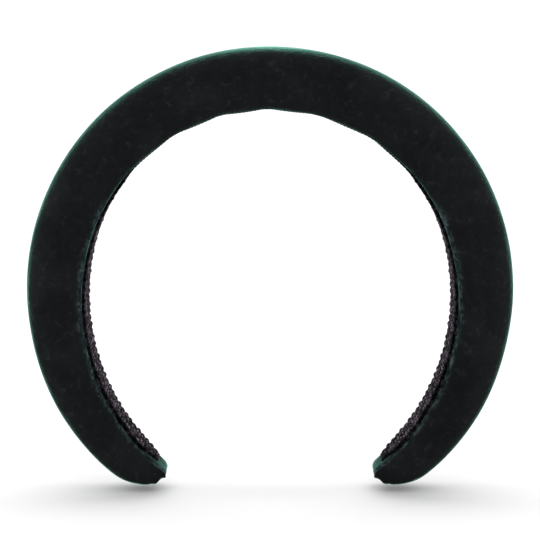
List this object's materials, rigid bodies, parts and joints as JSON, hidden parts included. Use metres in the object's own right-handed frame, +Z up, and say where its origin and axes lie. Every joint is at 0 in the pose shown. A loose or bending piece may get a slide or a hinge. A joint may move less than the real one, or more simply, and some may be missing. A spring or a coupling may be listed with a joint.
{
  "type": "headband",
  "caption": "Thick padded velvet headband: a sprung open ring that grips the head, with a D-shaped foam roll, blunt tips and a ribbon lining.",
  "frame": {"origin": "centre of the head opening: the centre of the lining's half circle, on the band's middle plane", "axes": "+Z up to the crown, +X to the right seen from the front, +Y from the front edge to the back edge"},
  "size_m": [0.174, 0.038, 0.1584],
  "materials": {
    "velvet": "black crushed velvet with a green sheen at grazing angles",
    "lining": "dark coarse knitted ribbon with small rounded picot teeth on both edges",
    "foam": "soft open-cell foam",
    "core_plastic": "moulded, matt",
    "adhesive": "double-sided tape and fabric glue"
  },
  "bodies": {
    "crown": {"core_crown": "core_plastic", "foam_tape_crown": "adhesive", "foam_crown": "foam", "velvet_crown": "velvet", "lining_glue_crown": "adhesive", "ribbon_crown": "lining"},
    "left_arm": {"core_left_arm": "core_plastic", "foam_tape_left_arm": "adhesive", "foam_left_arm": "foam", "velvet_left_arm": "velvet", "tip_pocket_left": "velvet", "lining_glue_left_arm": "adhesive", "ribbon_left_arm": "lining"},
    "right_arm": {"core_right_arm": "core_plastic", "foam_tape_right_arm": "adhesive", "foam_right_arm": "foam", "velvet_right_arm": "velvet", "tip_pocket_right": "velvet", "lining_glue_right_arm": "adhesive", "ribbon_right_arm": "lining"}
  },
  "joints": [
    {"name": "left_spread", "type": "hinge", "parent": "crown", "child": "left_arm", "pos_m": [-0.04819, 0, 0.04819], "axis": [0, 1, 0], "range_deg": [-4, 15], "stiffness_Nm_per_rad": 0.9},
    {"name": "right_spread", "type": "hinge", "parent": "crown", "child": "right_arm", "pos_m": [0.04819, 0, 0.04819], "axis": [0, -1, 0], "range_deg": [-4, 15], "stiffness_Nm_per_rad": 0.9}
  ]
}
